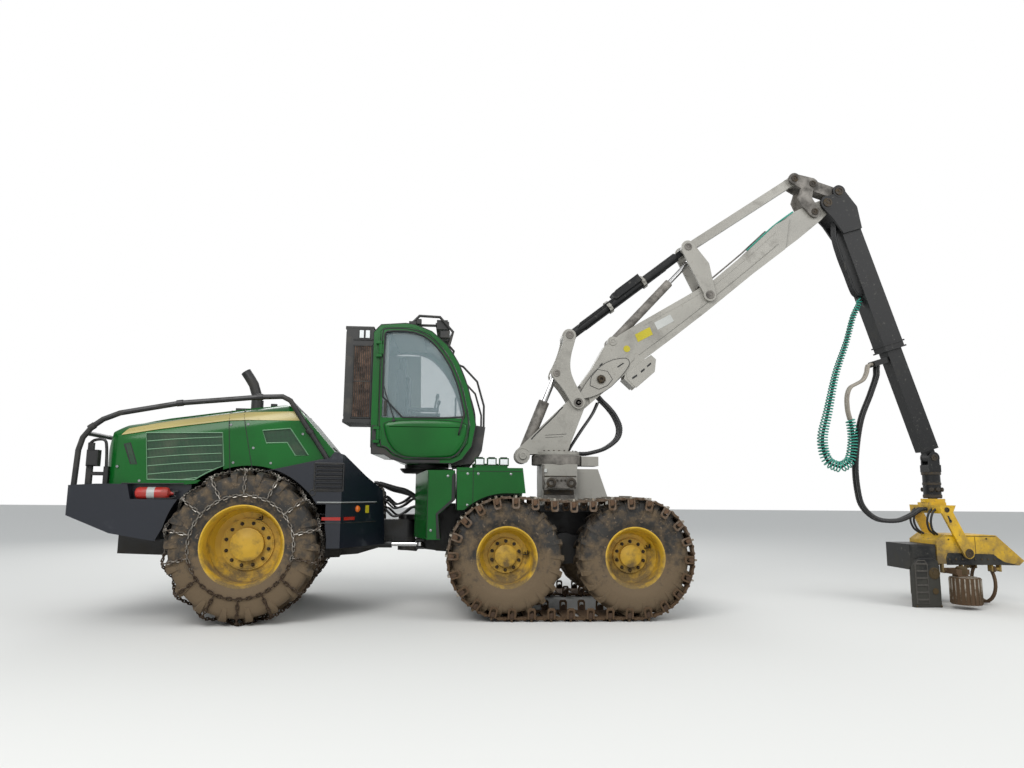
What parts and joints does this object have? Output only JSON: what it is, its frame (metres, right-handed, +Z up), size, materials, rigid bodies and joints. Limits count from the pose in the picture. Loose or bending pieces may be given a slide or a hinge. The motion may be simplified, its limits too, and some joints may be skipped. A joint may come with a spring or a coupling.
{
  "type": "forestry harvester",
  "caption": "Articulated timber harvester with tracked front bogies, chained rear wheels, turning cab, parallel crane and a felling head",
  "frame": {"origin": "middle of the machine's outline as it stands, on the ground", "axes": "+X is the way the machine drives, +Y its left side, +Z up; the front frame is square to the axes and the rear frame turned 5.85 degrees"},
  "size_m": [12.0669, 3.0573, 6.057],
  "materials": {
    "bare_steel": "satin",
    "black_paint": "satin, dirty",
    "crane_grey": "satin, weathered",
    "glass": "clear",
    "green_paint": "gloss, weathered",
    "head_yellow": "satin",
    "hose": "matt",
    "lamp": "gloss",
    "navy_paint": "satin",
    "red_paint": "gloss",
    "rim_ochre": "satin, dirty",
    "rusty_steel": "rough, rusty",
    "trim": "matt",
    "tyre": "matt"
  },
  "bodies": {
    "front_frame": {"front_chassis": "black_paint", "bogie_cases": "black_paint", "front_rims": "rim_ochre", "front_tyres": "tyre", "bogie_tracks": "rusty_steel", "tank_boxes": "green_paint", "front_lamps": "green_paint", "crane_base": "crane_grey"},
    "rear_frame": {"rear_chassis": "black_paint", "engine": "black_paint", "hood": "green_paint", "hood_grilles": "trim", "rear_panels": "navy_paint", "guard_rail": "black_paint", "exhaust": "black_paint", "extinguisher": "red_paint", "rear_lamps": "lamp"},
    "rear_wheel_right": {"rear_rim_right": "rim_ochre", "rear_tyre_right": "tyre"},
    "rear_wheel_left": {"rear_rim_left": "rim_ochre", "rear_tyre_left": "tyre"},
    "cab": {"cab_shell": "green_paint", "cab_glass": "glass", "cab_lamps": "trim", "cab_guards": "trim", "cab_interior": "trim", "cab_intake": "trim"},
    "cab_door": {"cab_door": "green_paint", "door_glass": "glass"},
    "crane_pillar": {"crane_pillar": "crane_grey", "pillar_hoses": "hose"},
    "stick": {"stick": "black_paint", "stick_hoses": "hose"},
    "head": {"head_frame": "head_yellow", "head_works": "black_paint"},
    "steer_barrel_right": {"steer_barrel_right": "black_paint"},
    "steer_rod_right": {"steer_rod_right": "bare_steel"},
    "steer_barrel_left": {"steer_barrel_left": "black_paint"},
    "steer_rod_left": {"steer_rod_left": "bare_steel"},
    "lift_barrel": {"lift_barrel": "black_paint"},
    "lift_rod": {"lift_rod": "bare_steel"},
    "main_boom": {"main_boom": "crane_grey"},
    "rocker": {"rocker": "crane_grey"},
    "tie_tube": {"tie_tube": "black_paint"},
    "link_plates": {"link_plates": "crane_grey"},
    "jib_barrel": {"jib_barrel": "black_paint"},
    "jib_rod": {"jib_rod": "bare_steel"},
    "square_rod": {"square_rod": "crane_grey"},
    "horseshoe_link": {"horseshoe_link": "black_paint"},
    "short_link": {"short_link": "black_paint"},
    "extension": {"extension": "black_paint"},
    "hanger": {"hanger": "black_paint"},
    "tilt_frame": {"tilt_frame": "head_yellow"},
    "knife_right": {"knife_right": "rusty_steel"},
    "knife_left": {"knife_left": "rusty_steel"},
    "feed_arm_right": {"feed_arm_right": "rusty_steel"},
    "feed_arm_left": {"feed_arm_left": "rusty_steel"}
  },
  "joints": [
    {"name": "steering", "type": "hinge", "parent": "front_frame", "child": "rear_frame", "pos_m": [-2.244, 0.162, 0.93], "axis": [0, 0, 1], "range_deg": [-49.85, 38.15]},
    {"name": "rear_wheel_spin_right", "type": "hinge", "parent": "rear_frame", "child": "rear_wheel_right", "pos_m": [-4.05651, -0.02371, 0.845], "axis": [-0.1019, 0.9948, 0], "continuous": true},
    {"name": "rear_wheel_spin_left", "type": "hinge", "parent": "rear_frame", "child": "rear_wheel_left", "pos_m": [-4.05651, -0.02371, 0.845], "axis": [-0.1019, 0.9948, 0], "continuous": true},
    {"name": "steer_barrel_pivot_right", "type": "hinge", "parent": "rear_frame", "child": "steer_barrel_right", "pos_m": [-2.95952, -0.21288, 0.8], "axis": [0, 0, 1], "range_deg": [-9.86, 12.58]},
    {"name": "steer_rod_slide_right", "type": "slide", "parent": "steer_barrel_right", "child": "steer_rod_right", "axis": [1, -0.0056, 0], "range_m": [-0.2392, 0.3095]},
    {"name": "steer_barrel_pivot_left", "type": "hinge", "parent": "rear_frame", "child": "steer_barrel_left", "pos_m": [-3.02067, 0.38399, 0.8], "axis": [0, 0, 1], "range_deg": [-9.1, 11.59]},
    {"name": "steer_rod_slide_left", "type": "slide", "parent": "steer_barrel_left", "child": "steer_rod_left", "axis": [0.9872, 0.1597, 0], "range_m": [-0.323, 0.2496]},
    {"name": "cab_swing", "type": "hinge", "parent": "front_frame", "child": "cab", "pos_m": [-2, 0.162, 1.757], "axis": [0, 0, 1], "range_deg": [-80, 80]},
    {"name": "cab_door_hinge", "type": "hinge", "parent": "cab", "child": "cab_door", "pos_m": [-2.575, -0.65, 2.67], "axis": [0, 0, -1], "range_deg": [0, 85]},
    {"name": "crane_slew", "type": "hinge", "parent": "front_frame", "child": "crane_pillar", "pos_m": [-0.26, 0.162, 1.952], "axis": [0, 0, 1], "range_deg": [-110, 110]},
    {"name": "boom_lift", "type": "hinge", "parent": "crane_pillar", "child": "main_boom", "pos_m": [0.012, 0.162, 2.653], "axis": [0, -1, 0], "range_deg": [-35, 40], "deforming": ["pillar_hoses"]},
    {"name": "lift_barrel_pivot", "type": "hinge", "parent": "crane_pillar", "child": "lift_barrel", "pos_m": [-0.73, 0.162, 1.937], "axis": [0, -1, 0], "range_deg": [-8, 8]},
    {"name": "lift_rod_slide", "type": "slide", "parent": "lift_barrel", "child": "lift_rod", "axis": [0.3736, 0, 0.9276], "range_m": [-0.31, 0.27]},
    {"name": "stick_fold", "type": "hinge", "parent": "main_boom", "child": "stick", "pos_m": [3.635, 0.162, 5.607], "axis": [0, 1, 0], "range_deg": [-55, 30]},
    {"name": "rocker_pivot", "type": "hinge", "parent": "main_boom", "child": "rocker", "pos_m": [0.012, 0.162, 2.653], "axis": [0, 1, 0], "range_deg": [-22.29, 12.61]},
    {"name": "tie_tube_pivot", "type": "hinge", "parent": "rocker", "child": "tie_tube", "pos_m": [-0.102, 0.162, 3.577], "axis": [0, 1, 0], "range_deg": [-14.17, 25.14]},
    {"name": "link_plate_pivot", "type": "hinge", "parent": "main_boom", "child": "link_plates", "pos_m": [1.87, 0.162, 4.198], "axis": [0, 1, 0], "range_deg": [-25.37, 14.29]},
    {"name": "jib_barrel_pivot", "type": "hinge", "parent": "main_boom", "child": "jib_barrel", "pos_m": [0.502, 0.162, 3.509], "axis": [0, 1, 0], "range_deg": [-3.7, 2.47]},
    {"name": "jib_rod_slide", "type": "slide", "parent": "jib_barrel", "child": "jib_rod", "axis": [0.6835, 0, 0.7299], "range_m": [-0.245, 0.14]},
    {"name": "square_rod_pivot", "type": "hinge", "parent": "link_plates", "child": "square_rod", "pos_m": [1.576, 0.162, 4.883], "axis": [0, 1, 0], "range_deg": [-15.07, 26.79]},
    {"name": "horseshoe_pivot", "type": "hinge", "parent": "main_boom", "child": "horseshoe_link", "pos_m": [3.46, 0.162, 5.483], "axis": [0, 1, 0], "range_deg": [-33.89, 18.94]},
    {"name": "short_link_pivot", "type": "hinge", "parent": "horseshoe_link", "child": "short_link", "pos_m": [3.449, 0.162, 5.901], "axis": [0, 1, 0], "range_deg": [-4.75, 7.88]},
    {"name": "telescope", "type": "slide", "parent": "stick", "child": "extension", "axis": [0.3002, 0, -0.9539], "range_m": [0, 1.6], "deforming": ["stick_hoses"]},
    {"name": "hanger_swing", "type": "hinge", "parent": "extension", "child": "hanger", "pos_m": [5, 0.162, 1.98], "axis": [0, -1, 0], "range_deg": [-60, 60]},
    {"name": "rotator", "type": "hinge", "parent": "hanger", "child": "tilt_frame", "pos_m": [5, 0.162, 1.39], "axis": [0, 0, 1], "continuous": true},
    {"name": "head_tilt", "type": "hinge", "parent": "tilt_frame", "child": "head", "pos_m": [5.23, 0.162, 0.7], "axis": [0, -1, 0], "range_deg": [0, 90]},
    {"name": "knife_right_pivot", "type": "hinge", "parent": "head", "child": "knife_right", "pos_m": [5.63, -0.088, 0.488], "axis": [-1, 0, 0], "range_deg": [0, 50]},
    {"name": "feed_arm_right_pivot", "type": "hinge", "parent": "head", "child": "feed_arm_right", "pos_m": [5.02, -0.108, 0.472], "axis": [-1, 0, 0], "range_deg": [0, 30]},
    {"name": "knife_left_pivot", "type": "hinge", "parent": "head", "child": "knife_left", "pos_m": [5.63, 0.412, 0.488], "axis": [-1, 0, 0], "range_deg": [-50, 0]},
    {"name": "feed_arm_left_pivot", "type": "hinge", "parent": "head", "child": "feed_arm_left", "pos_m": [5.02, 0.432, 0.472], "axis": [-1, 0, 0], "range_deg": [-30, 0]}
  ],
  "couplings": [
    {"joint": "steer_barrel_pivot_right", "follows": "steering", "ratio": -0.23228},
    {"joint": "steer_rod_slide_right", "follows": "steering", "m_per_rad": -0.34426},
    {"joint": "steer_barrel_pivot_left", "follows": "steering", "ratio": -0.21244},
    {"joint": "steer_rod_slide_left", "follows": "steering", "m_per_rad": 0.3598},
    {"joint": "lift_barrel_pivot", "follows": "boom_lift", "ratio": 0.178},
    {"joint": "lift_rod_slide", "follows": "boom_lift", "m_per_rad": -0.418},
    {"joint": "rocker_pivot", "follows": "stick_fold", "ratio": 0.387},
    {"joint": "tie_tube_pivot", "follows": "stick_fold", "ratio": -0.439},
    {"joint": "link_plate_pivot", "follows": "stick_fold", "ratio": 0.443},
    {"joint": "jib_barrel_pivot", "follows": "stick_fold", "ratio": 0.049},
    {"joint": "jib_rod_slide", "follows": "stick_fold", "m_per_rad": 0.24},
    {"joint": "square_rod_pivot", "follows": "stick_fold", "ratio": -0.469},
    {"joint": "horseshoe_pivot", "follows": "stick_fold", "ratio": 0.598},
    {"joint": "short_link_pivot", "follows": "stick_fold", "ratio": -0.125},
    {"joint": "knife_left_pivot", "follows": "knife_right_pivot", "ratio": -1},
    {"joint": "feed_arm_left_pivot", "follows": "feed_arm_right_pivot", "ratio": -1}
  ]
}
